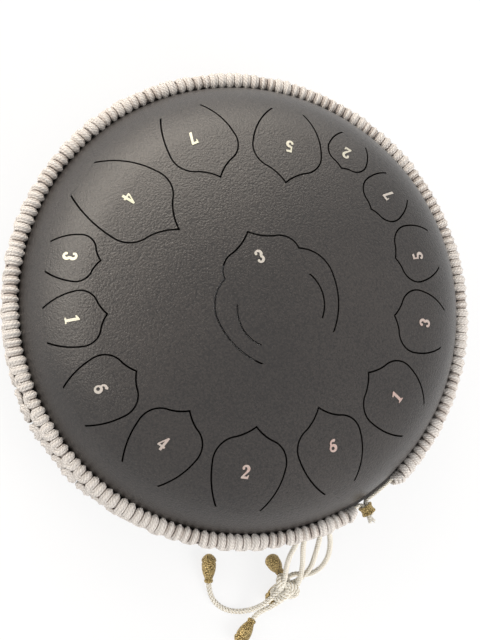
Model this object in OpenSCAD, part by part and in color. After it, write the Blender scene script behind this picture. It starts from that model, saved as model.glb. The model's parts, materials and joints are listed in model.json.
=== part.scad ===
// Steel tongue drum with fifteen tongues, a knotted cord band and tied cord tails.
// The drum stands on Z = 0 with its axis on Z. Lengths are in millimetres.

/* [Top shell] */
// Thickness of the steel sheet
sheet_t = 1.8; // [1.2:0.1:2.4]
// Height of the top shell over the seam
dome_h = 80.5; // [77:0.5:84]
// Radius of the top shell's crown
crown_r = 342; // [336:1:348]
// Radius of the top shell's shoulder
knuckle_r = 75; // [73:1:77]
// How far the flanges stand out of the wall
flange_w = 1.4; // [1:0.1:1.8]

/* [Bottom shell] */
// Depth of the bottom shell under the seam
base_h = 63; // [60:1:68]
// Radius of the bottom shell's shoulder
base_knuckle_r = 60; // [58:1:62]
// Radius of the sound port in the bottom
port_r = 42; // [36:1:46]
// Thickness of the adhesive in the seam
seam_t = 0.4; // [0.2:0.1:0.8]

/* [Tongues] */
// Width of the cut round each tongue
slot_w = 1.2; // [0.8:0.1:1.6]
// How far the roots of the rim tongues stay inside the wall
rim_inset = 16.1; // [15:0.1:19]
// Length of the longest rim tongue, as a share of its root radius
rim_l_share = 0.48; // [0.46:0.01:0.5]
// Width of the widest rim tongue, as a share of its root radius
rim_w_share = 0.366; // [0.35:0.002:0.38]
// Parting gap at the root of each tongue
root_gap = 0.05; // [0.05:0.01:0.1]
// Length of the centre tongue, as a share of the rim tongues' root radius
centre_l_share = 0.566; // [0.54:0.002:0.59]
// Widest width of the centre tongue, as a share of the same radius
centre_w_share = 0.579; // [0.55:0.002:0.6]

/* [Note labels] */
// Height of a figure
digit_h = 9.5; // [8:0.5:11]
// Thickness of a figure
digit_t = 0.35; // [0.25:0.05:0.5]
// Film of glue under a figure
label_glue_t = 0.02; // [0.02:0.01:0.05]

/* [Feet] */
// Radius of the ring on which the feet sit
foot_ring_r = 100; // [90:1:108]
// Radius of a rubber foot where it meets the shell
foot_r = 14; // [12:0.5:16]
// Radius of a rubber foot at its free end
foot_tip_r = 11.5; // [10:0.5:13]
// Height of the bottom shell's crown over the floor
foot_lift = 8; // [7:0.5:10]
// Rubber left under a screw's head
foot_seat_t = 8; // [6:0.5:9]
// Radius of a foot screw's shank
screw_r = 2.5; // [2:0.1:3]
// Radius of a foot screw's head
screw_head_r = 4.6; // [4:0.1:5]
// Height of a foot screw's head
screw_head_h = 2.8; // [2:0.1:3.2]
// Radius of a washer
washer_r = 6; // [5.5:0.1:7]
// Thickness of a washer
washer_t = 1; // [0.8:0.1:1.4]
// Height of a nut
nut_h = 4; // [3:0.1:5]
// Radius of a nut over its corners
nut_r = 4.6; // [4.2:0.1:5.2]

/* [Cord band] */
// How far the knotted band stands out past the flanges
band_w = 8.5; // [7:0.1:12]
// Height of the knotted band
band_h = 20; // [18:0.5:22]
// Rounding of the band's outer edges
band_edge_r = 5.5; // [4:0.5:7]
// Angle at the middle of the gap in the band
closure_a = 302.3; // [290:0.1:320]
// Gap in the band on the side before the bead
gap_before_a = 5.6; // [5:0.1:7]
// Gap in the band on the side past the bead
gap_past_a = 12; // [9:0.1:14]
// Radius of one strand of the core cord
core_r = 1.4; // [1.3:0.05:1.5]
// Bend radius of the core cord at the bead
core_bend_r = 3; // [2.9:0.1:3.4]

/* [Closure bead] */
// Length of the closure bead
bead_l = 7; // [6:0.5:8]
// Outside radius of the closure bead
bead_r = 5.4; // [5.2:0.1:6]
// Bore radius of the closure bead
bead_bore_r = 3.75; // [3.7:0.05:4]
// How far the cut cord ends reach past the bead
cord_end_l = 2.6; // [2.2:0.1:4]

/* [Tail cords] */
// Radius of a tail cord
tail_r = 2.2; // [2:0.05:2.3]
// Length of a tail bead
tail_bead_l = 22; // [20:0.5:24]
// Radius of a tail bead at its widest
tail_bead_r = 5.75; // [5.4:0.05:6]
// Depth of the socket in a tail bead
tail_socket_l = 6; // [4:0.5:8]
// Clearance round a cord in a bead's socket
tail_socket_gap = 0.1; // [0.05:0.05:0.2]

/* [Clearances] */
// Clearance between the band and the steel
band_gap = 0.3; // [0.2:0.05:0.4]
// Clearance round the core cord in the band
core_gap = 0.1; // [0.05:0.05:0.2]
// Clearance between a foot and the bottom shell
foot_gap = 0.02; // [0.02:0.01:0.1]
// Clearance under a washer at its middle
washer_gap = 0.1; // [0.08:0.02:0.2]
// Clearance round a screw in a hole
hole_gap = 0.25; // [0.2:0.05:0.5]
// Clearance between the screw's thread and the nut
thread_gap = 0.05; // [0.03:0.01:0.1]
// Gap between the two strands of the core cord
strand_gap = 0.2; // [0.1:0.05:0.3]

/* [Hidden] */
$fn = 96;
// Facets of the shells' arcs, in a mesh alone
arc_fn = 480;
// Overrun of every cut
over = 2;
// How far the arcs of a petal cross one another
lap = 0.1;
// Heading from a crown's centre to its shoulder's centre, as shares. They are
// the sides of a 44, 117, 125 triangle, so that the two arcs meet exactly.
join_shares = [0.352, 0.936];
// Radii of the press tools, in steps of a quarter so that the arcs stay exact
function quarter(x) = round(4 * x) / 4;
top_crown_r = quarter(crown_r);
top_knuckle_r = quarter(knuckle_r);
base_knuckle = quarter(base_knuckle_r);
// Outside radius of both shells at the seam
wall_r = let (k = [0, dome_h - top_crown_r] + (top_crown_r - top_knuckle_r) * join_shares)
    k[0] + sqrt(top_knuckle_r * top_knuckle_r - k[1] * k[1]);
// The bottom shell's crown has the radius that brings its shoulder to that wall
base_crown_r = let (
    p = join_shares[0],
    q = 1 - join_shares[1],
    a = wall_r + base_knuckle * p,
    b = base_h - base_knuckle * join_shares[1],
    h = p * a + q * b,
    m = p * p + q * q)
    round((h - sqrt(h * h - m * (a * a + b * b - base_knuckle * base_knuckle))) / m);
seam_z = foot_lift + base_h + seam_t / 2;
top_z = seam_z + seam_t / 2;
low_z = seam_z - seam_t / 2;
flange_r = wall_r + flange_w;
band_r = flange_r + band_w;
rim_root_r = wall_r - rim_inset;
rim_tongue_l = rim_root_r * rim_l_share;
rim_tongue_w = rim_root_r * rim_w_share;
centre_l = rim_root_r * centre_l_share;
centre_w = rim_root_r * centre_w_share;
foot_a = asin(foot_ring_r / base_crown_r);
foot_angles = [45, 135, 225, 315];

// Rim tongues, in order round the drum from the right.
// Each row: angle, root radius, length, width, root width of its own width,
// label place from root to tip, label turn in degrees.
rim_names = ["mid_5", "mid_7", "high_2", "low_5", "low_7", "low_4", "high_3",
             "high_1", "mid_6", "mid_4", "mid_2", "low_6", "mid_1", "mid_3"];
rim_shares = [
    [17.5, 0.908, 0.523, 0.737, 0.65, 0.49, -1.3],
    [40.1, 0.880, 0.447, 0.644, 0.66, 0.39, -0.3],
    [59.5, 0.918, 0.404, 0.554, 0.62, 0.55, 0.6],
    [81.8, 0.916, 0.804, 0.896, 0.44, 0.52, -0.7],
    [113.6, 0.959, 0.782, 0.878, 0.61, 0.42, 2],
    [147.4, 0.990, 0.993, 1.000, 0.50, 0.47, -0.7],
    [170.4, 1.000, 0.456, 0.572, 0.62, 0.42, -0.3],
    [188.6, 1.003, 0.533, 0.662, 0.61, 0.44, -0.2],
    [211.1, 0.997, 0.601, 0.777, 0.66, 0.45, -0.9],
    [235.8, 0.985, 0.689, 0.838, 0.61, 0.48, -0.7],
    [264.2, 0.977, 0.758, 0.914, 0.60, 0.46, -0.9],
    [293.8, 0.959, 0.812, 0.860, 0.47, 0.53, 0.7],
    [323.5, 0.940, 0.722, 0.874, 0.56, 0.46, 0.7],
    [352.6, 0.915, 0.618, 0.795, 0.59, 0.42, 0]
];
// Place of the widest line from tip to root, and the radii of the shoulder
// and of the hollow beside the tip as shares of the half width
widest_share = 0.43;
shoulder_share = 0.65;
hollow_share = 1.5;

// Centre tongue: heading, root middle as shares of its length
centre_a = 114.5;
centre_x = centre_l * 0.21;
centre_y = -centre_l * 0.442;
// Shares of its length: widest line, petal line, and the petal's hollow
centre_widest_share = 0.455;
petal_share = 0.727;
petal_hollow_share = 0.45;
// Shares of its half width: root, shoulder radius, petal and petal shoulder
centre_root_share = 0.618;
centre_shoulder_share = 0.57;
petal_w_share = 0.643;
petal_shoulder_share = 0.325;
// Relief arcs in the centre tongue: middle along it, arc radius, offset of
// their centres, and the angles at which they end
relief_place_share = 0.355;
relief_r_share = 0.306;
relief_off_share = 0.062;
relief_from_a = 60;
relief_to_a = 135;
centre_label_share = 0.79;

// Core cord: two strands, one over the other, in the band and at the bead
strand_off = core_r + strand_gap / 2;
core_ring_r = flange_r + band_gap + core_r;
bend_a = asin((strand_off + core_bend_r) / (core_ring_r + core_bend_r));
bend_x = (core_ring_r + core_bend_r) * cos(bend_a);
bead_x = bend_x - strand_gap;
cord_end_x = bead_x + bead_l + cord_end_l;
loop_x = cord_end_x - core_r - strand_off;

// Outline of the closure bead: places along it and radii, as shares
bead_shares = [[0, 1], [0.1, 1.04], [0.2, 1], [0.35, 0.9], [0.65, 0.9],
               [0.8, 1], [0.9, 1.04], [1, 1]];
// Outline of a tail bead from the cord to its cap
tail_bead_shares = [[0, 0.52], [0.03, 0.6], [0.08, 0.6], [0.11, 0.52],
                    [0.16, 0.56], [0.3, 0.78], [0.45, 0.93], [0.6, 0.98],
                    [0.68, 0.96], [0.7, 0.9], [0.73, 0.9], [0.75, 1],
                    [0.8, 1], [0.84, 0.94], [0.92, 0.72], [0.97, 0.5],
                    [1, 0.3]];
// Heading of each tail bead, and how far it tips up
tail_heads = [[91, 8], [134, 40], [236, 4], [229, 9]];

// Routes of the tail cords, from under the band to their beads, for a wall
// radius of 168.08, a seam 71.2 high and a cord radius of 2.2
tail_plans = [
    [[44.5, -165, 65], [44.8, -171, 58.5], [44.3, -178, 50.5], [43.8, -186, 39],
     [44.5, -194, 28.5], [45.5, -201, 21.5], [45, -207.5, 17.6], [42, -213, 15.8],
     [37.5, -217.5, 15.4], [33, -221.5, 14.2], [28.5, -225, 10.8],
     [24, -227.6, 6.8], [19, -229.2, 3.8], [13, -229.8, 2.5], [5.5, -229, 2.2],
     [-1.5, -226, 2.2], [-7, -221, 2.5], [-10.2, -214.5, 3.2], [-11.5, -207, 4]],
    [[61.2, -159.8, 65], [62.5, -167, 58.5], [63.3, -176, 49.5],
     [64.3, -185.5, 38], [64.8, -194, 27], [62.3, -200.8, 19],
     [57.3, -206.2, 13.4], [52, -208.3, 10.9], [47.5, -207.1, 10.4],
     [44.5, -203.8, 11.2], [43.4, -199.4, 13]],
    [[50, -163.6, 65], [50.2, -170, 58.5], [51.2, -178, 50], [53.8, -186.5, 40.5],
     [56.3, -194, 31], [57.5, -202, 22.5], [56.5, -209, 17.2],
     [52.5, -214.5, 14.9], [47.5, -218.7, 14.3], [42.5, -222, 13.8],
     [37.5, -225.3, 12.3], [32.5, -228.3, 8.8], [27.5, -231.5, 6],
     [23.5, -236, 5]],
    [[66, -157.8, 65], [69, -166, 58.5], [72.8, -175, 49.5], [75, -185, 38.5],
     [74, -193.5, 28], [70.5, -199, 19], [65.5, -201.8, 12], [60, -201.6, 7.6],
     [56.5, -202.2, 5.4], [53, -204.2, 4.3], [49.8, -207.2, 4]]
];
// The tails hang at this heading. They move out with the wall and stretch with
// the seam's height over the floor.
tail_a = -72;
tail_out = wall_r - 168.08;
tail_rise = (seam_z - tail_r) / (71.2 - 2.2);
tail_routes = [for (plan = tail_plans) [for (p = plan)
    [p[0] + tail_out * cos(tail_a), p[1] + tail_out * sin(tail_a),
     tail_r + (p[2] - 2.2) * tail_rise]]];

// Figures 1 to 7 as outlines, all as shares of a figure's height
one_shares = [[0.12, 0], [0.58, 0], [0.58, 0.09], [0.46, 0.12], [0.46, 1],
              [0.36, 1], [0.08, 0.82], [0.1, 0.72], [0.25, 0.78],
              [0.25, 0.12], [0.12, 0.09]];
two_foot_shares = [[0.04, 0], [0.56, 0], [0.6, 0.28], [0.53, 0.28],
                   [0.48, 0.17], [0.24, 0.17], [0.52, 0.5], [0.56, 0.62],
                   [0.37, 0.62], [0.33, 0.52], [0.04, 0.1]];
four_shares = [[0.32, 0], [0.52, 0], [0.52, 0.22], [0.62, 0.22],
               [0.62, 0.36], [0.52, 0.36], [0.52, 1], [0.4, 1],
               [0.02, 0.34], [0.02, 0.22], [0.32, 0.22]];
four_hole_shares = [[0.14, 0.36], [0.33, 0.36], [0.33, 0.7]];
five_top_shares = [[0.1, 0.48], [0.3, 0.48], [0.3, 0.6], [0.22, 0.62],
                   [0.24, 0.82], [0.56, 0.82], [0.52, 1], [0.14, 1]];
seven_shares = [[0.07, 0.68], [0.12, 0.68], [0.17, 0.83], [0.42, 0.83],
                [0.14, 0], [0.34, 0], [0.6, 0.86], [0.6, 1], [0.08, 1]];
// Bowls of the round figures: place, outer and inner radius, and the
// offset that thickens one side
bowl_r_share = 0.3;
bowl_hole_share = 0.13;
bowl_side_share = 0.04;
ball_r_share = 0.095;

// Where circles of radii ra about a and rb about b meet, left of a to b
function meet(a, ra, b, rb) =
    let (d = norm(b - a), x = (d * d + ra * ra - rb * rb) / (2 * d),
         u = (b - a) / d)
    a + u * x + [-u[1], u[0]] * sqrt(ra * ra - x * x);
function unit(v) = v / norm(v);
function turn(p, a) = [p[0] * cos(a) - p[1] * sin(a), p[0] * sin(a) + p[1] * cos(a)];

// Solid half section of a dished shell, grown by g, over its seam plane: its
// crown, its shoulder and a strip that lies inside both
module dish_section(h, cr, kr, g) {
    crown = [0, h - cr];
    knuckle = crown + (cr - kr) * join_shares;
    foot = knuckle - join_shares * knuckle[1] / join_shares[1];
    end = knuckle + join_shares * 2 * kr;
    intersection() {
        translate(crown)
            circle(cr + g, $fn = arc_fn);
        polygon([[0, 0], foot, end, [0, end[1]]]);
    }
    intersection() {
        translate(knuckle)
            circle(kr + g, $fn = arc_fn);
        polygon([foot, [cr, 0], [cr, end[1]], end]);
    }
    side = [join_shares[1], -join_shares[0]];
    low = foot + join_shares * over;
    high = knuckle + join_shares * (kr + g - lap);
    polygon([low + side, high + side, high - side, low - side]);
}
module top_section(g) {
    dish_section(dome_h, top_crown_r, top_knuckle_r, g);
}
module base_section(g) {
    dish_section(base_h, base_crown_r, base_knuckle, g);
}
// A layer of the top shell between two offsets from its outside
module top_layer(low, high) {
    translate([0, 0, top_z])
        rotate_extrude()
            difference() {
                top_section(high);
                top_section(low);
            }
}
module flange_section() {
    translate([wall_r - sheet_t, 0])
        square([sheet_t + flange_w, sheet_t]);
}

// Pointed end of a petal: tip at the origin, widest line at len. Its hollow
// sides cross the shoulders by lap, so that no two arcs only touch.
module petal_head(len, w, sr, hr, g) {
    c = [len, w - sr];
    up = meet([0, 0], hr, c, sr + hr - lap);
    tip = up[0] + sqrt(pow(hr - g, 2) - pow(up[1], 2));
    end = [len + over / 2, w - sr];
    difference() {
        polygon([[tip - over / 2, 0], [up[0], -up[1]], [end[0], -end[1]], end, up]);
        translate(up)
            circle(hr - g);
        translate([up[0], -up[1]])
            circle(hr - g);
    }
}
// Both shoulders of a petal, as whole circles on its widest line
module shoulders(x, w, sr, g) {
    for (s = [-1, 1])
        translate([x, s * (w - sr + lap)])
            circle(sr + g);
}
// The belly between the widest line at 0 and the root line at len
module belly(len, w, root_w, g) {
    br = (len * len + pow(w - root_w, 2)) / (2 * (w - root_w));
    intersection() {
        translate([0, w - br])
            circle(br + g);
        translate([0, br - w])
            circle(br + g);
        translate([0, -w - g])
            square([len, 2 * (w + g)]);
    }
}
// Outline of a rim tongue grown by g, with its tip towards the drum's centre
module rim_petal(row, g) {
    w = rim_tongue_w / 2 * row[3];
    len = rim_tongue_l * row[2];
    head = len * widest_share;
    translate([rim_root_r * row[1] - len, 0]) {
        petal_head(head, w, w * shoulder_share, w * hollow_share, g);
        shoulders(head, w, w * shoulder_share, g);
        translate([head, 0])
            belly(len - head, w, w * row[4], g);
    }
}
// Outline of the centre tongue grown by g, with its root line at 0
module centre_petal(g) {
    w = centre_w / 2;
    wide = centre_l * centre_widest_share;
    petal = centre_l * petal_share;
    pw = w * petal_w_share;
    psr = w * petal_shoulder_share;
    translate([wide, 0])
        rotate(180)
            belly(wide, w, w * centre_root_share, g);
    shoulders(wide, w, w * centre_shoulder_share, g);
    translate([wide / 2, -pw / 2])
        square([petal - wide / 2, pw]);
    shoulders(petal, pw, psr, g);
    translate([centre_l, 0])
        rotate(180)
            petal_head(centre_l - petal, pw, psr, centre_l * petal_hollow_share, g);
}
module at_centre_tongue() {
    translate([centre_x, centre_y])
        rotate(centre_a)
            children();
}
module upright(h) {
    translate([0, 0, seam_z])
        linear_extrude(h)
            children();
}
// Cutter through the top shell for a petal and the slot round it
module rim_cut(row) {
    rotate(row[0])
        upright(dome_h + over)
            rim_petal(row, slot_w);
}
// A relief arc beside the middle of the centre tongue
module relief_arc() {
    r = centre_l * relief_r_share;
    far = 2 * centre_l;
    translate([centre_l * relief_place_share, centre_l * relief_off_share])
        intersection() {
            difference() {
                circle(r + slot_w / 2);
                circle(r - slot_w / 2);
            }
            polygon([[0, 0], turn([far, 0], relief_from_a), [0, far],
                     turn([far, 0], relief_to_a)]);
        }
}

module top_shell() {
    color("#3b3c40")
        difference() {
            translate([0, 0, top_z])
                rotate_extrude() {
                    difference() {
                        top_section(0);
                        top_section(-sheet_t);
                    }
                    flange_section();
                }
            for (row = rim_shares)
                rim_cut(row);
            at_centre_tongue()
                upright(dome_h + over)
                    centre_petal(slot_w);
        }
}
module rim_tongue(row) {
    w = rim_tongue_w;
    root = rim_root_r * row[1];
    color("#46474b")
        intersection() {
            top_layer(-sheet_t, 0);
            rotate(row[0])
                upright(dome_h + over)
                    intersection() {
                        rim_petal(row, 0);
                        translate([0, -w])
                            square([root - root_gap, 2 * w]);
                    }
        }
}
module centre_tongue() {
    color("#46474b")
        intersection() {
            top_layer(-sheet_t, 0);
            at_centre_tongue()
                upright(dome_h + over)
                    difference() {
                        centre_petal(0);
                        translate([-over, -centre_w])
                            square([over + root_gap, 2 * centre_w]);
                        relief_arc();
                        mirror([0, 1])
                            relief_arc();
                    }
        }
}

// A bowl of a round figure: a ring that is thicker on its right side
module bowl(x, y, from_a, to_a) {
    far = digit_h;
    mid_a = (from_a + to_a) / 2;
    translate([x, y] * digit_h)
        intersection() {
            difference() {
                circle(bowl_r_share * digit_h);
                translate([-bowl_side_share * digit_h, 0])
                    circle(bowl_hole_share * digit_h);
            }
            polygon([[0, 0], turn([far, 0], from_a),
                     turn([far * 2, 0], (from_a + mid_a) / 2),
                     turn([far * 2, 0], mid_a),
                     turn([far * 2, 0], (to_a + mid_a) / 2),
                     turn([far, 0], to_a)]);
        }
}
module ball(x, y) {
    translate([x, y] * digit_h)
        circle(ball_r_share * digit_h);
}
module figure_one() {
    polygon(one_shares * digit_h);
}
module figure_two() {
    bowl(0.3, 0.7, -50, 170);
    ball(0.11, 0.72);
    polygon(two_foot_shares * digit_h);
}
module figure_three() {
    bowl(0.3, 0.71, -80, 160);
    bowl(0.3, 0.3, -160, 80);
    ball(0.12, 0.76);
    ball(0.12, 0.24);
}
module figure_four() {
    difference() {
        polygon(four_shares * digit_h);
        polygon(four_hole_shares * digit_h);
    }
}
module figure_five() {
    polygon(five_top_shares * digit_h);
    bowl(0.3, 0.3, -160, 120);
    ball(0.12, 0.22);
}
module figure_six() {
    bowl(0.3, 0.3, -180, 180);
    bowl(0.42, 0.62, 45, 225);
    ball(0.5, 0.84);
}
module figure_seven() {
    polygon(seven_shares * digit_h);
}
module figure(n) {
    translate([-bowl_r_share, -1 / 2] * digit_h) {
        if (n == 1)
            figure_one();
        if (n == 2)
            figure_two();
        if (n == 3)
            figure_three();
        if (n == 4)
            figure_four();
        if (n == 5)
            figure_five();
        if (n == 6)
            figure_six();
        if (n == 7)
            figure_seven();
    }
}
module label_layer() {
    color("#d9d3c8")
        intersection() {
            top_layer(label_glue_t, label_glue_t + digit_t);
            upright(dome_h + over)
                children();
        }
}
module rim_label(row, n) {
    place = rim_root_r * row[1] - rim_tongue_l * row[2] * row[5];
    label_layer()
        rotate(row[0] + row[6])
            translate([place, 0])
                rotate(90)
                    figure(n);
}
module centre_label() {
    label_layer()
        at_centre_tongue()
            translate([centre_l * centre_label_share, 0])
                rotate(-90)
                    figure(3);
}

// Children sit on the bottom shell, with Z into the drum from its outside
module at_foot(a) {
    rotate(a)
        translate([0, 0, low_z - base_h + base_crown_r])
            rotate([0, -foot_a, 0])
                translate([0, 0, -base_crown_r])
                    children();
}
module bottom_shell() {
    color("#36373b")
        difference() {
            translate([0, 0, low_z])
                rotate([180, 0, 0])
                    rotate_extrude() {
                        difference() {
                            base_section(0);
                            base_section(-sheet_t);
                        }
                        flange_section();
                    }
            cylinder(h = seam_z, r = port_r);
            for (a = foot_angles)
                at_foot(a)
                    translate([0, 0, -over])
                        cylinder(h = sheet_t + 2 * over, r = screw_r + hole_gap);
        }
}
module seam_adhesive() {
    color("#222222")
        translate([0, 0, low_z])
            difference() {
                cylinder(h = seam_t, r = flange_r);
                translate([0, 0, -over])
                    cylinder(h = seam_t + 2 * over, r = wall_r - sheet_t);
            }
}
module foot(a) {
    len = foot_lift + foot_ring_r * tan(foot_a);
    head_low = foot_seat_t + screw_head_h;
    color("#1c1c1c")
        difference() {
            at_foot(a)
                difference() {
                    translate([0, 0, -len])
                        cylinder(h = len + over, r1 = foot_tip_r, r2 = foot_r);
                    translate([0, 0, base_crown_r])
                        sphere(base_crown_r + foot_gap);
                    translate([0, 0, -len - over])
                        cylinder(h = len - foot_seat_t + over, r = screw_head_r + hole_gap);
                    translate([0, 0, -head_low])
                        cylinder(h = head_low + over, r = screw_r + hole_gap);
                }
            translate([0, 0, -wall_r])
                cylinder(h = wall_r, r = wall_r);
        }
}
module foot_screws() {
    shank = foot_seat_t + sheet_t + washer_gap + washer_t + nut_h + over / 2;
    color("#8f9196")
        for (a = foot_angles)
            at_foot(a)
                translate([0, 0, -foot_seat_t]) {
                    translate([0, 0, -screw_head_h])
                        cylinder(h = screw_head_h, r = screw_head_r);
                    cylinder(h = shank, r = screw_r);
                }
}
module foot_washers() {
    color("#a5a7ab")
        for (a = foot_angles)
            at_foot(a)
                translate([0, 0, sheet_t + washer_gap])
                    difference() {
                        cylinder(h = washer_t, r = washer_r);
                        translate([0, 0, -over])
                            cylinder(h = washer_t + 2 * over, r = screw_r + hole_gap);
                    }
}
module foot_nuts() {
    color("#a5a7ab")
        for (a = foot_angles)
            at_foot(a)
                translate([0, 0, sheet_t + washer_gap + washer_t])
                    difference() {
                        cylinder(h = nut_h, r = nut_r, $fn = 6);
                        translate([0, 0, -over])
                            cylinder(h = nut_h + 2 * over, r = screw_r + thread_gap);
                    }
}

// Section of the knotted band, with the seam plane at 0
module band_section() {
    half = band_h / 2;
    low = flange_r - knuckle_r / 10;
    groove = sheet_t + seam_t / 2 + band_gap;
    difference() {
        union() {
            translate([low, -half])
                square([band_r - band_edge_r - low, band_h]);
            translate([low, band_edge_r - half])
                square([band_r - low, band_h - 2 * band_edge_r]);
            for (s = [-1, 1])
                translate([band_r - band_edge_r, s * (half - band_edge_r)])
                    circle(band_edge_r);
        }
        translate([0, seam_t / 2])
            top_section(band_gap);
        translate([0, -seam_t / 2])
            mirror([0, 1])
                base_section(band_gap);
        translate([0, -groove])
            square([flange_r + band_gap, 2 * groove]);
        for (s = [-1, 1])
            translate([core_ring_r, s * strand_off])
                circle(core_r + core_gap);
        translate([flange_r, -strand_off])
            square([core_ring_r + core_gap - flange_r, 2 * strand_off]);
    }
}
module cord_band() {
    color("#e9e2d6")
        translate([0, 0, seam_z])
            rotate(closure_a + gap_past_a)
                rotate_extrude(angle = 360 - gap_before_a - gap_past_a)
                    band_section();
}
// One strand of the core cord: round the drum and into the bead. A ball
// closes each place where two of its lengths meet.
module core_strand(past_x, before_x) {
    rotate(bend_a)
        rotate_extrude(angle = 360 - 2 * bend_a)
            translate([core_ring_r, 0])
                circle(core_r);
    core_turn(past_x);
    rotate([180, 0, 0])
        core_turn(before_x);
}
module core_ball() {
    sphere(core_r + core_gap / 2);
}
module core_turn(end_x) {
    rotate(bend_a)
        translate([core_ring_r, 0])
            core_ball();
    translate([bend_x, strand_off + core_bend_r])
        rotate(180 + bend_a)
            rotate_extrude(angle = 90 - bend_a)
                translate([core_bend_r, 0])
                    circle(core_r);
    translate([bend_x, strand_off]) {
        core_ball();
        rotate([0, 90, 0])
            cylinder(h = end_x - bend_x, r = core_r);
    }
}
module core_cord() {
    color("#efe8d4")
        translate([0, 0, seam_z])
            rotate(closure_a) {
                for (s = [-1, 1])
                    translate([0, 0, s * strand_off]) {
                        core_strand(loop_x, cord_end_x);
                        translate([loop_x, strand_off])
                            core_ball();
                    }
                translate([loop_x, strand_off, -strand_off])
                    cylinder(h = 2 * strand_off, r = core_r);
            }
}
module closure_bead() {
    outline = [for (p = bead_shares) [p[1] * bead_r, p[0] * bead_l]];
    color("#9a7b4a")
        translate([0, 0, seam_z])
            rotate(closure_a)
                translate([bead_x, 0])
                    rotate([0, 90, 0])
                        rotate_extrude()
                            polygon(concat([[bead_bore_r, 0]], outline,
                                           [[bead_bore_r, bead_l]]));
}

// A tube of radius r along a list of points
function heading(p, i) =
    let (n = len(p) - 1)
    unit(p[min(i + 1, n)] - p[max(i - 1, 0)]);
function sides(p, i, last) =
    let (t = heading(p, i), s = unit(last - t * (last * t)))
    i == len(p) - 1 ? [s] : concat([s], sides(p, i + 1, s));
module tube(p, r, k) {
    s = sides(p, 0, [1, 0, 0]);
    n = len(p);
    rings = [for (i = [0:n - 1]) for (j = [0:k - 1])
        let (a = 360 * j / k, b = cross(heading(p, i), s[i]))
        p[i] + r * (cos(a) * s[i] + sin(a) * b)];
    walls = [for (i = [0:n - 2]) for (j = [0:k - 1])
        let (q = i * k, m = (j + 1) % k)
        each [[q + j, q + m, q + k + m], [q + j, q + k + m, q + k + j]]];
    ends = [[for (j = [0:k - 1]) k - 1 - j], [for (j = [0:k - 1]) (n - 1) * k + j]];
    polyhedron(rings, [for (f = concat(walls, ends)) [for (i = [len(f) - 1:-1:0]) f[i]]]);
}
module tail_cord(i) {
    color("#ece4c8")
        tube(tail_routes[i], tail_r, 8);
}
module tail_bead(i) {
    route = tail_routes[i];
    neck = route[len(route) - 1];
    socket_r = tail_r + tail_socket_gap;
    outline = [for (p = tail_bead_shares) [p[1] * tail_bead_r, p[0] * tail_bead_l]];
    color("#8d7440")
        translate(neck)
            rotate([0, 90 - tail_heads[i][1], tail_heads[i][0]])
                rotate_extrude()
                    polygon(concat(outline, [[0, tail_bead_l], [0, tail_socket_l],
                                             [socket_r, tail_socket_l], [socket_r, 0]]));
}

top_shell();
bottom_shell();
seam_adhesive();
for (i = [0:len(rim_names) - 1]) {
    figure_n = [5, 7, 2, 5, 7, 4, 3, 1, 6, 4, 2, 6, 1, 3][i];
    rim_tongue(rim_shares[i]);
    rim_label(rim_shares[i], figure_n);
}
centre_tongue();  // tongue_low_3
centre_label();  // label_low_3
for (k = [1:4])
    foot(foot_angles[k - 1]);
foot_screws();
foot_washers();
foot_nuts();
cord_band();
core_cord();
closure_bead();
for (k = [1:4]) {
    tail_cord(k - 1);
    tail_bead(k - 1);
}
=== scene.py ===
"""Steel tongue drum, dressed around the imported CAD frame.

The camera and the strands are laid out in millimetres, and MM turns them into metres.
Materials, floor and lamps are in metres.
"""
import json
import math
import random

import bpy
import numpy as np
from mathutils import Matrix, Vector


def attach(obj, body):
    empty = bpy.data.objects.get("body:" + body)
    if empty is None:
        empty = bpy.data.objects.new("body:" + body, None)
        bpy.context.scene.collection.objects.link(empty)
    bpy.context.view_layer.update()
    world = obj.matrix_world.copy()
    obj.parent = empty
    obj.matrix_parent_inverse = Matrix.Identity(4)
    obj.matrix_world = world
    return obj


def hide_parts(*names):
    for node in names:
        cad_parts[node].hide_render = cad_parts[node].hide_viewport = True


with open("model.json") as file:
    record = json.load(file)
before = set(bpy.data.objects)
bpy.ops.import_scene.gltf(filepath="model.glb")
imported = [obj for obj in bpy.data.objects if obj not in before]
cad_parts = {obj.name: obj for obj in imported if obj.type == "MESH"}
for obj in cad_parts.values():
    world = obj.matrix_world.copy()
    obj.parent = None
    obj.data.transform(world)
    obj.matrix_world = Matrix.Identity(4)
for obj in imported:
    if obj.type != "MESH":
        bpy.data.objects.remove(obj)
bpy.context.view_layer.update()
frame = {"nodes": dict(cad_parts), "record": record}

MM = 0.001
NODES = frame["nodes"]
DRUM = "drum"
SEAM_Z = 71.2  # height of the seam over the floor
CLOSURE = 302.3  # heading of the closure bead in degrees

# --- camera, fitted to the photo ---
LENS, PICTURE_WIDTH = 90, 36
TURN_X, TURN_Y = -0.1288, 0.2511  # radians
AIM = (0, 0, 80)
AIM_IN_VIEW = (5.61, 10.72, -887.8)  # where AIM lies in the camera's own axes


def add_camera():
    turn = Matrix.Rotation(TURN_X, 3, "X") @ Matrix.Rotation(TURN_Y, 3, "Y")
    back = turn.transposed()
    place = Vector(AIM) - back @ Vector(AIM_IN_VIEW)
    data = bpy.data.cameras.new("camera")
    data.lens, data.sensor_fit, data.sensor_width = LENS, "HORIZONTAL", PICTURE_WIDTH
    data.clip_start, data.clip_end = 0.01, 20
    cam = bpy.data.objects.new("camera", data)
    bpy.context.scene.collection.objects.link(cam)
    cam.matrix_world = Matrix.Translation(place * MM) @ back.to_4x4()
    bpy.context.scene.camera = cam


# --- material parts ---
CELLS = 760.0  # cells per metre in the coat's wrinkle and in the bronze's pits
WARP = 0.0012  # how far the coat's cells are pulled out of shape
FIBRES = 37.0  # about six fibre lines to each ply of a cotton strand
NOISE_LOW, NOISE_HIGH = 0.3, 0.7  # most of a noise lies between these


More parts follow.
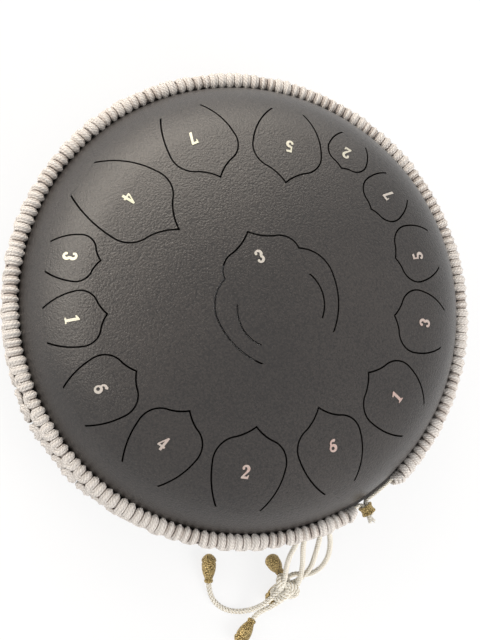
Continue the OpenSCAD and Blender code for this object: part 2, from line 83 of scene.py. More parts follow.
def material(name, color, rough, metallic=0.0, spec=0.5):
    mat = bpy.data.materials.new(name)
    mat.use_nodes = True
    bsdf = mat.node_tree.nodes["Principled BSDF"]
    bsdf.inputs["Base Color"].default_value = (*color, 1)
    bsdf.inputs["Roughness"].default_value = rough
    bsdf.inputs["Metallic"].default_value = metallic
    bsdf.inputs["Specular IOR Level"].default_value = spec
    return mat, mat.node_tree, bsdf


def node(tree, kind, inputs=None, **props):
    n = tree.nodes.new(kind)
    for key, value in props.items():
        setattr(n, key, value)
    for key, value in (inputs or {}).items():
        n.inputs[key].default_value = value
    return n


def math_node(tree, op, a, b=None):
    n = node(tree, "ShaderNodeMath", operation=op)
    for i, v in enumerate((a, b)):
        if v is None:
            continue
        if isinstance(v, (int, float)):
            n.inputs[i].default_value = v
        else:
            tree.links.new(v, n.inputs[i])
    return n.outputs[0]


def plus(tree, a, b):
    return math_node(tree, "ADD", a, b)


def times(tree, a, b):
    return math_node(tree, "MULTIPLY", a, b)


def ramp(tree, value, stops):
    n = node(tree, "ShaderNodeValToRGB")
    elements = n.color_ramp.elements
    for element, (at, color) in ((elements[0], stops[0]), (elements[1], stops[-1])):
        element.position, element.color = at, (*color, 1)
    for at, color in stops[1:-1]:
        elements.new(at).color = (*color, 1)
    tree.links.new(value, n.inputs["Fac"])
    return n.outputs["Color"]


def map_range(tree, value, low, high, to_low=0.0, to_high=1.0):
    n = node(tree, "ShaderNodeMapRange",
             {"From Min": low, "From Max": high, "To Min": to_low, "To Max": to_high})
    tree.links.new(value, n.inputs["Value"])
    return n.outputs[0]


def place_coords(tree):
    return node(tree, "ShaderNodeTexCoord").outputs["Object"]


def dot(tree, coords, direction):
    n = node(tree, "ShaderNodeVectorMath", {1: direction}, operation="DOT_PRODUCT")
    tree.links.new(coords, n.inputs[0])
    return n.outputs["Value"]


def noise(tree, coords, scale, detail=3.0, rough=0.5, output="Fac"):
    n = node(tree, "ShaderNodeTexNoise", {"Scale": scale, "Detail": detail, "Roughness": rough})
    tree.links.new(coords, n.inputs["Vector"])
    return n.outputs[output]


def bump(tree, bsdf, height, distance, strength=1.0):
    n = node(tree, "ShaderNodeBump", {"Distance": distance, "Strength": strength})
    tree.links.new(height, n.inputs["Height"])
    tree.links.new(n.outputs["Normal"], bsdf.inputs["Normal"])


# --- materials ---
def powder_coat(name, low, high, rough):
    """Dark powder coat with a fine wrinkle, in warped cells a little over a millimetre wide."""
    mat, tree, bsdf = material(name, low, rough)
    at = place_coords(tree)
    cells = node(tree, "ShaderNodeTexVoronoi", {"Scale": CELLS, "Randomness": 1.0},
                 feature="SMOOTH_F1")
    warped = node(tree, "ShaderNodeVectorMath", {1: (WARP, WARP, WARP)}, operation="MULTIPLY_ADD")
    tree.links.new(noise(tree, at, scale=650.0, detail=2.0, output="Color"), warped.inputs[0])
    tree.links.new(at, warped.inputs[2])
    tree.links.new(warped.outputs[0], cells.inputs["Vector"])
    fine = noise(tree, at, scale=1900.0, rough=0.6)
    grain = math_node(tree, "SUBTRACT", 1.0, cells.outputs["Distance"])
    height = plus(tree, grain, times(tree, fine, 0.6))
    bump(tree, bsdf, height, distance=0.0003)
    broad = noise(tree, at, scale=9.0, detail=4.0, rough=0.6)
    tint = plus(tree, times(tree, broad, 0.35), times(tree, height, 0.45))
    tree.links.new(ramp(tree, tint, [(0.45, low), (0.85, high)]), bsdf.inputs["Base Color"])
    dull = map_range(tree, fine, NOISE_LOW, NOISE_HIGH, rough - 0.1, rough + 0.14)
    tree.links.new(dull, bsdf.inputs["Roughness"])
    return mat


def cotton(name, low, high, lay, plies, groove_shade_stops):
    """Twisted cotton: UV x runs along the strand in millimetres and y round it."""
    mat, tree, bsdf = material(name, high, rough=0.92, spec=0.2)
    bsdf.inputs["Sheen Weight"].default_value = 0.25
    bsdf.inputs["Sheen Roughness"].default_value = 0.5
    uv = node(tree, "ShaderNodeUVMap", uv_map="strand")
    split = node(tree, "ShaderNodeSeparateXYZ")
    tree.links.new(uv.outputs["UV"], split.inputs[0])
    along = times(tree, split.outputs[0], plies / lay)
    turns = plus(tree, along, times(tree, split.outputs[1], float(plies)))
    ridge = math_node(tree, "ABSOLUTE", math_node(tree, "SINE", times(tree, turns, math.pi)))
    fibres = math_node(tree, "SINE", times(tree, turns, FIBRES))
    fuzz = noise(tree, place_coords(tree), scale=2600.0, detail=2.0, rough=0.7)
    height = plus(tree, ridge, times(tree, fibres, 0.08))
    height = plus(tree, height, times(tree, fuzz, 0.35))
    bump(tree, bsdf, height, distance=0.00035, strength=0.85)
    patch = noise(tree, place_coords(tree), scale=45.0, rough=0.6)
    # painted shade: the grooves of the ply pattern are coloured darker; the patches are a random
    # tone
    tint = plus(tree, times(tree, ridge, 0.5), times(tree, patch, 0.5))
    # painted shade: the colour is darkened down in the grooves between strands and between plies
    relief = node(tree, "ShaderNodeAttribute", attribute_name="relief").outputs["Fac"]
    mix = node(tree, "ShaderNodeMix", {"Factor": 1.0}, data_type="RGBA", blend_type="MULTIPLY")
    tree.links.new(ramp(tree, tint, [(0.12, low), (0.6, high)]), mix.inputs["A"])
    tree.links.new(ramp(tree, relief, groove_shade_stops), mix.inputs["B"])
    tree.links.new(mix.outputs["Result"], bsdf.inputs["Base Color"])
    return mat


def bronze(name):
    """Antique bronze: dark in its pits and bright where it is rubbed."""
    mat, tree, bsdf = material(name, (0.3, 0.22, 0.1), rough=0.42, metallic=1.0)
    at = place_coords(tree)
    pits = node(tree, "ShaderNodeTexVoronoi", {"Scale": CELLS}, feature="DISTANCE_TO_EDGE")
    tree.links.new(at, pits.inputs["Vector"])
    edge = map_range(tree, pits.outputs["Distance"], 0.0, 0.16)
    grain = noise(tree, at, scale=900.0, detail=4.0, rough=0.65)
    height = plus(tree, edge, times(tree, grain, 0.9))
    bump(tree, bsdf, height, distance=0.0005, strength=0.9)
    color = ramp(tree, times(tree, height, 0.6),
                 [(0.2, (0.035, 0.023, 0.012)), (0.5, (0.20, 0.14, 0.058)),
                  (0.85, (0.66, 0.50, 0.23))])
    tree.links.new(color, bsdf.inputs["Base Color"])
    return mat


def foil(name):
    """Embossed foil with a painted reflection: its colour goes from a yellow silver at the back of
    the drum to copper in front, with a random play.
    """
    mat, tree, bsdf = material(name, (0.5, 0.46, 0.41), rough=0.45, metallic=0.35)
    at = place_coords(tree)
    # painted reflection: the tint follows the label's place on the drum, from the back to the front
    place = map_range(tree, dot(tree, at, (0.55, -0.83, 0)), -0.13, 0.13)
    play = noise(tree, at, scale=130.0, detail=2.0)
    play = times(tree, math_node(tree, "SUBTRACT", play, 0.5), 0.9)
    color = ramp(tree, plus(tree, place, play),
                 [(0.0, (0.47, 0.47, 0.36)), (0.5, (0.49, 0.45, 0.41)),
                  (1.0, (0.47, 0.34, 0.305))])
    tree.links.new(color, bsdf.inputs["Base Color"])
    bump(tree, bsdf, noise(tree, at, scale=700.0, detail=2.0), distance=0.0002, strength=0.5)
    return mat


def plain(name, color, rough, metallic=0.0, grain=900.0):
    """One colour with a fine grain."""
    mat, tree, bsdf = material(name, color, rough, metallic)
    spots = noise(tree, place_coords(tree), scale=grain, rough=0.6)
    bump(tree, bsdf, spots, distance=0.00005)
    dark = tuple(c * 0.75 for c in color)
    shade = ramp(tree, spots, [(NOISE_LOW, dark), (NOISE_HIGH, color)])
    tree.links.new(shade, bsdf.inputs["Base Color"])
    return mat


# --- swept strands ---
# a ply's radius and its distance from the middle, as shares of the rope's radius
PLY_R, PLY_OFF = 0.485, 0.515
PLY_UV_STEP = 3.7  # keeps the fibres of a rope's plies from lying alike


def smooth_path(points, step):
    """A Catmull-Rom curve through the points, resampled at even steps."""
    p = np.array(points, float)
    p = np.vstack([2 * p[0] - p[1], p, 2 * p[-1] - p[-2]])
    t = np.linspace(0, 1, 12, endpoint=False)[:, None]
    out = []
    for i in range(1, len(p) - 2):
        a, b, c, d = p[i - 1], p[i], p[i + 1], p[i + 2]
        square, cube = 2 * a - 5 * b + 4 * c - d, 3 * b - a - 3 * c + d
        out.append(0.5 * (2 * b + (c - a) * t + square * t**2 + cube * t**3))
    out = np.vstack([*out, p[-2][None]])
    return resample(out, step)


def row_turn(degrees):
    """A matrix that turns rows of points about Z."""
    a = math.radians(degrees)
    c, s = math.cos(a), math.sin(a)
    return np.array([[c, s, 0], [-s, c, 0], [0, 0, 1]])


def run_length(p):
    """The length from the start to each point."""
    return np.r_[0, np.cumsum(np.linalg.norm(np.diff(p, axis=0), axis=1))]


def resample(p, step):
    """Rows at even steps. The first three columns are the place, others go along."""
    s = run_length(p[:, :3])
    n = max(int(round(s[-1] / step)), 2)
    at = np.linspace(0, s[-1], n + 1)
    return np.stack([np.interp(at, s, p[:, k]) for k in range(p.shape[1])], 1)


def path_frames(p, closed=False):
    """Tangent, side and up at each point, with no twist of their own."""
    t = (np.roll(p, -1, 0) - np.roll(p, 1, 0)) if closed else np.gradient(p, axis=0)
    t /= np.linalg.norm(t, axis=1)[:, None]
    side = np.cross(t[0], (0, 0, 1) if abs(t[0][2]) < 0.9 else (1, 0, 0))
    sides = []
    for ti in t:
        side = side - ti * side.dot(ti)
        side /= np.linalg.norm(side)
        sides.append(side)
    sides = np.array(sides)
    return t, sides, np.cross(t, sides)


class Builder:
    """Gathers tubes into one mesh with a strand UV map and an attribute of painted shade, darkest
    down in the grooves.
    """

    def __init__(self):
        self.verts, self.faces, self.uvs, self.relief, self.count = [], [], [], [], 0

    def tube(self, p, radius, sides=8, closed=False, start=0.0, out=None, lift=0.0, top=1.0):
        """out, lift and top give the painted groove shade: 0, the darkest, down in a groove and 1
        on top of a strand.
        """
        p = np.asarray(p, float)
        n = len(p)
        _, a, b = path_frames(p, closed)
        r = np.broadcast_to(np.asarray(radius, float), (n,))[:, None, None]
        ang = np.arange(sides) * 2 * np.pi / sides
        around = np.cos(ang)[None, :, None] * a[:, None] + np.sin(ang)[None, :, None] * b[:, None]
        ring = p[:, None] + r * around
        self.verts.append(ring.reshape(-1, 3))
        if out is None:
            self.relief.append(np.ones(n * sides))
        else:
            rise = ((ring - p[:, None]) * out[:, None]).sum(2)
            rise += np.broadcast_to(lift, (n,))[:, None]
            self.relief.append(np.clip(rise / top, 0, 1).ravel())
        s = start + run_length(p)
        base = self.count
        for i in range(n if closed else n - 1):
            k = (i + 1) % n
            sk = s[k] if k else s[-1] + np.linalg.norm(p[0] - p[-1])
            row, after = base + i * sides, base + k * sides
            for j in range(sides):
                m = (j + 1) % sides
                self.faces.append((row + j, row + m, after + m, after + j))
                v0, v1 = j / sides, (j + 1) / sides
                self.uvs += [(s[i], v0), (s[i], v1), (sk, v1), (sk, v0)]
        if not closed:
            for i, order in ((0, range(sides - 1, -1, -1)), (n - 1, range(sides))):
                self.faces.append(tuple(base + i * sides + j for j in order))
                self.uvs += [(s[i], j / sides) for j in order]
        self.count += n * sides

    def rope(self, p, radius, pitch, step, sides=7, closed=False, plies=3, ends=0.0):
        """Plies twisted about the path. ends rounds the plies off at both ends."""
        if closed:
            p = resample(np.vstack([p, p[:1]]), step)[:-1]
        else:
            p = resample(np.asarray(p, float), step)
        _, a, b = path_frames(p, closed)
        length = run_length(p)
        turn = 2 * np.pi * length / pitch
        if closed:
            # whole turns, less the slip of the frames once round
            whole = np.linalg.norm(p[0] - p[-1]) + length[-1]
            slip = math.atan2(np.dot(a[0], b[-1]), np.dot(a[0], a[-1]))
            turn = (2 * np.pi * round(whole / pitch) + slip) * length / whole
        ply_r, off = radius * PLY_R, radius * PLY_OFF
        for k in range(plies):
            w = turn + 2 * np.pi * k / plies
            q = p + off * (np.cos(w)[:, None] * a + np.sin(w)[:, None] * b)
            r = np.full(len(q), ply_r)
            if ends:
                r *= np.sqrt(np.clip(np.minimum(length, length[-1] - length) / ends, 0.12, 1))
            self.tube(q, r, sides, closed, start=k * PLY_UV_STEP,
                      out=(q - p) / off, lift=off, top=off + ply_r)

    def make(self, name, mat):
        mesh = bpy.data.meshes.new(name)
        mesh.from_pydata((np.vstack(self.verts) * MM).tolist(), [], self.faces)
        layer = mesh.uv_layers.new(name="strand")
        layer.data.foreach_set("uv", np.array(self.uvs, dtype=np.float32).ravel())
        # painted shade for the grooves, which the cotton's colour reads
        relief = mesh.attributes.new("relief", "FLOAT", "POINT")
        relief.data.foreach_set("value", np.concatenate(self.relief).astype(np.float32))
        mesh.polygons.foreach_set("use_smooth", [True] * len(mesh.polygons))
        return place_mesh(name, mesh, mat)


def place_mesh(name, mesh, mat):
    mesh.materials.append(mat)
    mesh.update()
    obj = bpy.data.objects.new(name, mesh)
    bpy.context.scene.collection.objects.link(obj)
    return obj


# --- tail cords, on the routes of the source ---
TAIL_D = 4.4
TAIL_LAY = 8.0  # length of one turn of the plies
IN_BEAD = 5  # how far a cord goes into its bead
TAIL_ROUTES = [
    [[44.5, -165, 65], [44.8, -171, 58.5], [44.3, -178, 50.5], [43.8, -186, 39],
     [44.5, -194, 28.5], [45.5, -201, 21.5], [45, -207.5, 17.6], [42, -213, 15.8],
     [37.5, -217.5, 15.4], [33, -221.5, 14.2], [28.5, -225, 10.8],
     [24, -227.6, 6.8], [19, -229.2, 3.8], [13, -229.8, 2.5], [5.5, -229, 2.2],
     [-1.5, -226, 2.2], [-7, -221, 2.5], [-10.2, -214.5, 3.2], [-11.5, -207, 4]],
    [[61.2, -159.8, 65], [62.5, -167, 58.5], [63.3, -176, 49.5],
     [64.3, -185.5, 38], [64.8, -194, 27], [62.3, -200.8, 19],
     [57.3, -206.2, 13.4], [52, -208.3, 10.9], [47.5, -207.1, 10.4],
     [44.5, -203.8, 11.2], [43.4, -199.4, 13]],
    [[50, -163.6, 65], [50.2, -170, 58.5], [51.2, -178, 50], [53.8, -186.5, 40.5],
     [56.3, -194, 31], [57.5, -202, 22.5], [56.5, -209, 17.2],
     [52.5, -214.5, 14.9], [47.5, -218.7, 14.3], [42.5, -222, 13.8],
     [37.5, -225.3, 12.3], [32.5, -228.3, 8.8], [27.5, -231.5, 6],
     [23.5, -236, 5]],
    [[66, -157.8, 65], [69, -166, 58.5], [72.8, -175, 49.5], [75, -185, 38.5],
     [74, -193.5, 28], [70.5, -199, 19], [65.5, -201.8, 12], [60, -201.6, 7.6],
     [56.5, -202.2, 5.4], [53, -204.2, 4.3], [49.8, -207.2, 4]],
]
# heading of each tail's bead and how far it tips up, in degrees
TAIL_HEADS = [(91, 8), (134, 40), (236, 4), (229, 9)]
KNOT_AT, KNOT_TURN = (46.5, -212, 15), -50
KNOT_LAPS = ((2.35, 2.6), (3.65, 3.0))  # width and height of the inner and the outer lap
KNOT_NARROW = 0.94


def tail_cords(mat):
    knot = tail_knot(mat)
    for i, (route, (head, tip)) in enumerate(zip(TAIL_ROUTES, TAIL_HEADS)):
        h, e = math.radians(head), math.radians(tip)
        into = np.array([math.cos(e) * math.cos(h), math.cos(e) * math.sin(h), math.sin(e)])
        line = smooth_path([*route, np.array(route[-1]) + IN_BEAD * into], 1.0)
        b = Builder()
        b.rope(line, TAIL_D / 2, TAIL_LAY, step=0.8, ends=0.6)
        obj = b.make(f"tail_cord_twisted_{i + 1}", mat)
        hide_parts(f"tail_cord_{i + 1}")
        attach(obj, DRUM)


def tail_knot(mat):
    """The overhand knot that ties the four cords: a doubled trefoil of the same cord."""
    t = np.linspace(0, 2 * np.pi, 160, endpoint=False)
    x, y = np.sin(t) + 2 * np.sin(2 * t), np.cos(t) - 2 * np.cos(2 * t)
    trefoil = np.stack([x, y, -np.sin(3 * t)], 1)
    b = Builder()
    for wide, high in KNOT_LAPS:
        p = trefoil * (wide, wide * KNOT_NARROW, high) @ row_turn(KNOT_TURN)
        b.rope(p + KNOT_AT, TAIL_D / 2, TAIL_LAY, step=0.8, closed=True)
    obj = b.make("tail_knot", mat)
    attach(obj, DRUM)
    return obj


# --- the knotted band ---
# middle line of a strand over the band's section, from the top inside to the bottom
# inside: radius and height over the seam
SECTION = [(168.3, 5.6), (168.9, 7.6), (170.6, 8.8), (173.4, 8.6), (175.6, 6.6),
           (176.5, 3.4), (176.6, 0.0), (176.5, -3.4),
           (175.6, -6.6), (173.4, -8.6), (170.6, -8.9), (168.4, -7.8), (167.4, -5.6)]
BAND_FROM, BAND_SPAN = CLOSURE + 12.0, 360 - 17.6  # degrees
PAIRS = 80  # pairs of an upper and a lower loop
PERIOD = BAND_SPAN / PAIRS
MEAN_R = 175.0
DEG_PER_MM = 360 / (2 * math.pi * MEAN_R)
BAR = PERIOD / DEG_PER_MM / 4  # half the distance of a loop's two bars
STRAND_R = 1.36
STRAND_STEP = 1.85  # from one strand of a bar to the next
TURN_IN = 4.2  # over how much of its bar a strand spreads to its place
BULGE = 0.85  # depth of a loop's round end, as a share of its half width
LOOSE_AT, LOOSE_WIDE = 215, 22  # where the lower loops hang loose, in degrees
# how far a loop comes over the section, and how that changes where the band is loose
UPPER_REACH, UPPER_CHANGE = 13.5, -7.5
LOWER_REACH, LOWER_CHANGE = 10.5, 9.0
MIDDLE_UP = 0.9  # how far a bar's middle strand stands over the other two
UPPER_TIP_UP, LOWER_TIP_DOWN = 0.55, 0.9  # the upper loops end over the lower ones
TIP_LONG, TIP_BACK = 7, 5  # a tip's length and how far short of the reach it begins
SLACK_LONG = 26  # a slack loop's arch would end this far from the edge
SLANT_FROM = 8  # a slanted loop turns about this distance from the edge
WAVE, WAVE_TURN = 0.16, 0.45  # every strand waves a little from side to side
# the wraps at each end: degrees past the end, middle radius, half width and half height
END_WRAPS = ((0.5, 174.2, 4.3, 6.4), (1.4, 173.6, 3.7, 5.2), (2.2, 172.9, 2.9, 4.0))
WRAP_R = 1.45
BODY_STEPS = 170
BODY_INSET = 0.4  # degrees that the body stops short at each end
BODY_LIFT = -0.6  # the body lies under the strands' middle lines


def section_lines():
    """Lengths along the section, its radii and heights, and its normals outwards."""
    p = smooth_path([(r, 0, z) for r, z in SECTION], 0.4)
    t = np.gradient(p, axis=0)
    t /= np.linalg.norm(t, axis=1)[:, None]
    return run_length(p), p[:, 0], p[:, 2], np.stack([-t[:, 2], t[:, 0]], 1)


SEC_S, SEC_R, SEC_Z, SEC_N = section_lines()
SEC_L = SEC_S[-1]


def on_band(s_deg, u, lift):
    """Points at angle s_deg, u millimetres along the section and lift over it."""
    r = np.interp(u, SEC_S, SEC_R) + lift * np.interp(u, SEC_S, SEC_N[:, 0])
    z = np.interp(u, SEC_S, SEC_Z) + lift * np.interp(u, SEC_S, SEC_N[:, 1]) + SEAM_Z
    a = np.radians(s_deg)
    return np.stack([r * np.cos(a), r * np.sin(a), z], 1)


def u_loop(across, reach, from_top):
    """A strand that comes over one edge, turns back at reach and leaves over the same
    edge. across is the strand's place in a bar."""
    straight = np.linspace(0, reach, 11)[:-1]
    phi = np.linspace(0, math.pi, 11)
    half = BAR + across
    spread = np.sqrt(np.clip(1 - (1 - np.minimum(straight, TURN_IN) / TURN_IN) ** 2, 0.02, 1))
    wide = BAR + across * spread
    s = np.r_[-wide, -half * np.cos(phi), wide[::-1]]
    u = np.r_[straight, reach + BULGE * half * np.sin(phi), straight[::-1]]
    return s, (u if from_top else SEC_L - u)


def knot_loop(b, rng, number, from_top):
    """One loop of three strands, which comes over the top or the bottom edge."""
    mid = BAND_FROM + (number + (0.5 if from_top else 0.0)) * PERIOD
    loose = math.exp(-(((mid % 360) - LOOSE_AT) / LOOSE_WIDE) ** 2)
    edge, full, change = ((0, UPPER_REACH, UPPER_CHANGE) if from_top
                          else (SEC_L, LOWER_REACH, LOWER_CHANGE))
    shift = rng.uniform(-0.7, 0.7)
    reach = full + change * loose + rng.uniform(-1, 1)
    rise = rng.uniform(-0.45, 0.5)
    slant = rng.uniform(-0.06, 0.06)
    if not from_top:
        shift += loose * (0.5 * BAR + rng.uniform(-1.2, 1.2))
        slant += loose * rng.uniform(-0.34, 0.1)
        slack = rng.uniform(2.0, 4.4) * loose
    for across in (-STRAND_STEP, 0.0, STRAND_STEP):
        s, u = u_loop(across, reach, from_top)
        far = np.abs(u - edge)
        tip = np.clip((far - reach + TIP_BACK) / TIP_LONG, 0, 1)
        lift = rise + (1 - (across / STRAND_STEP) ** 2) * MIDDLE_UP
        if from_top:
            lift = lift + UPPER_TIP_UP * tip
        else:
            lift = lift - LOWER_TIP_DOWN * tip * (1 - loose)
            lift += slack * np.sin(math.pi * np.clip(far / SLACK_LONG, 0, 1))
        s = s + shift + slant * (far - SLANT_FROM) + WAVE * np.sin(far * WAVE_TURN + number)
        p = on_band(mid + s * DEG_PER_MM, u, lift)
        out = on_band(mid + s * DEG_PER_MM, u, lift + 1) - p
        p = resample(np.c_[p, out, lift], 1.2)
        b.tube(p[:, :3], STRAND_R * rng.uniform(0.95, 1.04), start=rng.uniform(0, 40),
               out=p[:, 3:6], lift=p[:, 6], top=2.0)


def band_knots(mat):
    rng = random.Random(7)
    b = Builder()
    for number in range(PAIRS):
        knot_loop(b, rng, number, True)
        if number:
            knot_loop(b, rng, number, False)
    # a short wrap of three rings at each end
    w = np.linspace(0, 2 * np.pi, 40, endpoint=False)
    for edge, way in ((BAND_FROM, -1), (BAND_FROM + BAND_SPAN, 1)):
        for out_deg, mid_r, wide, high in END_WRAPS:
            a = np.radians(edge + way * out_deg + 0.25 * np.sin(w))
            r = mid_r + wide * np.cos(w)
            ring = np.stack([r * np.cos(a), r * np.sin(a), SEAM_Z + high * np.sin(w)], 1)
            b.tube(ring, WRAP_R, closed=True)
    knots = b.make("band_knots", mat)
    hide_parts("cord_band")
    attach(knots, DRUM)


def band_body(mat):
    """The cotton body under the knots, with its two ends."""
    u = np.linspace(0, SEC_L, 25)
    n = len(u)
    verts, faces = [], []
    for i in range(BODY_STEPS + 1):
        a = BAND_FROM + BODY_INSET + (BAND_SPAN - 2 * BODY_INSET) * i / BODY_STEPS
        verts += [tuple(v) for v in on_band(np.full(n, a), u, np.full(n, BODY_LIFT)) * MM]
    for i in range(BODY_STEPS):
        for k in range(n):
            m = (k + 1) % n
            faces.append((i * n + k, i * n + m, (i + 1) * n + m, (i + 1) * n + k))
    faces.append(tuple(range(n)))
    faces.append(tuple(BODY_STEPS * n + k for k in range(n - 1, -1, -1)))
    mesh = bpy.data.meshes.new("band_body")
    mesh.from_pydata(verts, [], faces)
    body = place_mesh("band_body", mesh, mat)
    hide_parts("cord_band")
    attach(body, DRUM)


# --- the core cord: bare in the gap, doubled through the bead ---
CORE_R = 1.4
CORE_LAY = 6.0
STRAND_OFF = 1.5  # half the distance of its two strands
BEND_R = 3.0
FLANGE_R, FLANGE_GAP = 169.48, 0.3
RING_R = FLANGE_R + FLANGE_GAP + CORE_R
BEND_A = math.degrees(math.asin((STRAND_OFF + BEND_R) / (RING_R + BEND_R)))
BEND_X = (RING_R + BEND_R) * math.cos(math.radians(BEND_A))
# the bead begins a little before the bend's end, and the cut ends stand out of it
BEAD_BACK, BEAD_L, CUT_L = 0.2, 7, 2.6
END_X = BEND_X - BEAD_BACK + BEAD_L + CUT_L
LOOP_X = END_X - CORE_R - STRAND_OFF
# degrees of the ring that go with the cut ends and with the loop
CUT_RING, LOOP_RING = 9.0, 15.0
FRAYS = 7


def core_half(z, side, out_x, ring_deg):
    """From the ring, round the bend and out through the bead; side is +1 past the closure."""
    a = np.radians(np.linspace(ring_deg, BEND_A, max(int(ring_deg * 3), 4)))
    ring = np.stack([RING_R * np.cos(a), RING_R * np.sin(a)], 1)
    w = np.radians(np.linspace(180 + BEND_A, 270, 10))[1:]
    bend = np.array([BEND_X, STRAND_OFF + BEND_R]) + BEND_R * np.stack([np.cos(w), np.sin(w)], 1)
    x = np.linspace(BEND_X, out_x, 14)[1:]
    p = np.vstack([ring, bend, np.stack([x, np.full_like(x, STRAND_OFF)], 1)])
    p[:, 1] *= side
    return np.c_[p, np.full(len(p), z)]


def turned(p):
    """From the closure's own axes to the drum's."""
    return p @ row_turn(CLOSURE) + (0, 0, SEAM_Z)


def frayed_end(b, z):
    """A fan of short fibres at the cut end of the strand at height z."""
    grow = np.linspace(0, 1, 8)
    for k in range(FRAYS):
        a = 2 * math.pi * k / FRAYS + z
        fan = 0.75 + 1.5 * grow**1.5 + 0.25 * math.sin(3.1 * k)
        along = END_X - 1 + (4.6 + math.cos(2.3 * k)) * grow
        fibre = np.stack([along, -STRAND_OFF + fan * math.cos(a), z + fan * math.sin(a)], 1)
        b.tube(turned(fibre), 0.72 - 0.3 * grow**2, 6)


def core_cord(mat):
    b = Builder()
    # cut ends on the side before the bead
    for z in (STRAND_OFF, -STRAND_OFF):
        cut = turned(core_half(z, -1, END_X, CUT_RING))
        b.rope(cut, CORE_R, CORE_LAY, step=0.6, sides=6, ends=0.5)
        frayed_end(b, z)
    # the loop on the side past the bead
    up, low = (core_half(z, 1, LOOP_X, LOOP_RING) for z in (STRAND_OFF, -STRAND_OFF))
    w = np.radians(np.linspace(90, -90, 12))[1:-1]
    x, z = LOOP_X + STRAND_OFF * np.cos(w), STRAND_OFF * np.sin(w)
    turn = np.stack([x, np.full_like(x, STRAND_OFF), z], 1)
    b.rope(turned(np.vstack([up, turn, low[::-1]])), CORE_R, CORE_LAY, step=0.6, sides=6)
    # the hidden run inside the band
    a = np.radians(CLOSURE + np.linspace(LOOP_RING, 360 - CUT_RING, 340))
    for z in (STRAND_OFF, -STRAND_OFF):
        run = np.stack([RING_R * np.cos(a), RING_R * np.sin(a), np.full_like(a, SEAM_Z + z)], 1)
        b.tube(run, CORE_R)
    obj = b.make("core_cord_twisted", mat)
    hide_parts("core_cord")
    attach(obj, DRUM)


# --- floor and lights ---
FLOOR_HALF = 30  # half the floor's width
SHADE_R = (0.11, 0.17)  # the floor's glow grows from nothing to full between these radii
FLOOR_GLOW = 0.8  # share of the glow in what the eye sees of the open floor
DOME = (0, 0, 0.1)  # where most lamps aim
# name, place and power of the lamps that only show in gloss
WINDOWS = [("window_back", (0.15, 1.45, 0.65), 13.0),
           ("window_corner", (-0.98, 1.08, 0.6), 16.0),
           ("window_left", (-1.45, 0.3, 0.65), 13.0)]


def seen_rays(tree):
    """1 for the rays that show the background: from the camera, in gloss and in glass."""
    path = node(tree, "ShaderNodeLightPath")
    both = math_node(tree, "MAXIMUM", path.outputs["Is Camera Ray"], path.outputs["Is Glossy Ray"])
    return math_node(tree, "MAXIMUM", both, path.outputs["Is Transmission Ray"])


def add_world():
    """A pale room, brighter on the key's side."""
    world = bpy.data.worlds.new("studio")
    bpy.context.scene.world = world
    world.use_nodes = True
    tree = world.node_tree
    back = tree.nodes["Background"]
    towards = dot(tree, node(tree, "ShaderNodeTexCoord").outputs["Generated"], (-0.4, 0.9, 0.17))
    level = map_range(tree, towards, -0.9, 0.9, 0.5, 0.92)
    tree.links.new(math_node(tree, "MAXIMUM", level, seen_rays(tree)), back.inputs["Strength"])
    back.inputs["Color"].default_value = (1, 1, 1, 1)


def add_floor():
    """White paper that glows for the eye alone, and not in the shade under the drum."""
    mesh = bpy.data.meshes.new("floor")
    corners = [(FLOOR_HALF * x, FLOOR_HALF * y, 0) for x, y in ((-1, -1), (1, -1), (1, 1), (-1, 1))]
    mesh.from_pydata(corners, [], [(0, 1, 2, 3)])
    mat, tree, bsdf = material("floor_paper", (0.88, 0.88, 0.88), rough=0.9, spec=0.1)
    glow = node(tree, "ShaderNodeEmission", {"Color": (1, 1, 1, 1), "Strength": 1.0})
    from_axis = node(tree, "ShaderNodeVectorMath", operation="LENGTH")
    tree.links.new(place_coords(tree), from_axis.inputs[0])
    open_floor = map_range(tree, from_axis.outputs["Value"], *SHADE_R, 0.0, FLOOR_GLOW)
    mix = node(tree, "ShaderNodeMixShader")
    tree.links.new(times(tree, seen_rays(tree), open_floor), mix.inputs[0])
    tree.links.new(bsdf.outputs[0], mix.inputs[1])
    tree.links.new(glow.outputs[0], mix.inputs[2])
    tree.links.new(mix.outputs[0], tree.nodes["Material Output"].inputs["Surface"])
    floor = place_mesh("floor", mesh, mat)


def lamp(name, place, aim, size, power, color):
    data = bpy.data.lights.new(name, "AREA")
    data.shape, data.size, data.size_y = "RECTANGLE", size[0], size[1]
    data.energy, data.color = power, color
    obj = bpy.data.objects.new(name, data)
    bpy.context.scene.collection.objects.link(obj)
    obj.location = place
    obj.rotation_euler = (Vector(aim) - Vector(place)).to_track_quat("-Z", "Y").to_euler()
    return obj


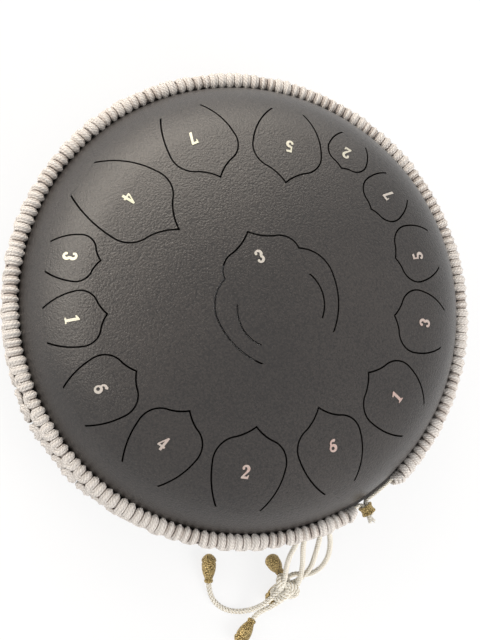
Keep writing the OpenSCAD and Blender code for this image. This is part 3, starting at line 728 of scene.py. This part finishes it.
def add_lamps():
    lamp("key", (-0.45, 1.15, 0.85), (0, 0.02, 0.1), (1.2, 0.8), 12.5, (1.0, 0.90, 0.78))
    lamp("fill", (-1.35, 0.3, 0.75), DOME, (1.0, 0.8), 6.0, (1.0, 0.93, 0.84))
    # lights the cotton on the near side and isn't mirrored in the dome
    front = lamp("front", (0.9, -0.95, 0.75), (0, 0, 0.07), (1.0, 0.8), 14.0, (1.0, 0.96, 0.92))
    front.visible_glossy = False
    # the bright side of the room, mirrored in the dome's coat and not felt by the cotton
    for name, place, power in WINDOWS:
        window = lamp(name, place, DOME, (1.4, 1.0), power, (1.0, 0.93, 0.82))
        window.visible_diffuse = False


def dress_frame(mats):
    """Gives the solids their looks. The cords' solids are replaced and keep their own."""
    slots = {row["node"]: row["material_slot"] for row in frame["record"]["subparts"]}
    for name, obj in NODES.items():
        if slots[name] in mats:
            for slot in obj.material_slots:
                slot.material = mats[slots[name]]


add_camera()
mats = {
    "dome_coat": powder_coat("dome_coat_grain", (0.014, 0.0118, 0.0112),
                             (0.048, 0.0405, 0.036), rough=0.33),
    "base_coat": powder_coat("base_coat_grain", (0.012, 0.0108, 0.0108),
                             (0.034, 0.031, 0.030), rough=0.42),
    "label_foil": foil("label_foil_painted_reflection"),
    "adhesive": plain("adhesive_black", (0.02, 0.02, 0.02), rough=0.6),
    "foot_rubber": plain("rubber_black", (0.018, 0.018, 0.019), rough=0.75, grain=500.0),
    "zinc_steel": plain("zinc_grey", (0.5, 0.5, 0.52), rough=0.35, metallic=1.0),
    "bead_bronze": bronze("bronze_worn"),
}
mats["tongue_coat"] = mats["dome_coat"]
# both cottons get a painted shade down in their grooves, darkest at the first groove stop
cream = cotton("cotton_band", (0.52, 0.465, 0.42), (0.745, 0.705, 0.665), lay=7.0, plies=3,
               groove_shade_stops=[(0.05, (0.16, 0.13, 0.12)), (0.35, (0.64, 0.59, 0.56)),
                             (0.7, (1, 1, 1))])
twist = cotton("cotton_tail", (0.76, 0.69, 0.56), (0.90, 0.87, 0.79), lay=3.4, plies=2,
               groove_shade_stops=[(0.3, (0.30, 0.24, 0.16)), (0.62, (0.72, 0.66, 0.55)),
                             (0.86, (1, 1, 1))])
under = plain("cotton_under", (0.62, 0.565, 0.53), rough=0.95)
tail_cords(twist)
core_cord(twist)
band_knots(cream)
band_body(under)
dress_frame(mats)
bpy.context.scene.view_settings.view_transform = "Standard"
add_world()
add_floor()
add_lamps()
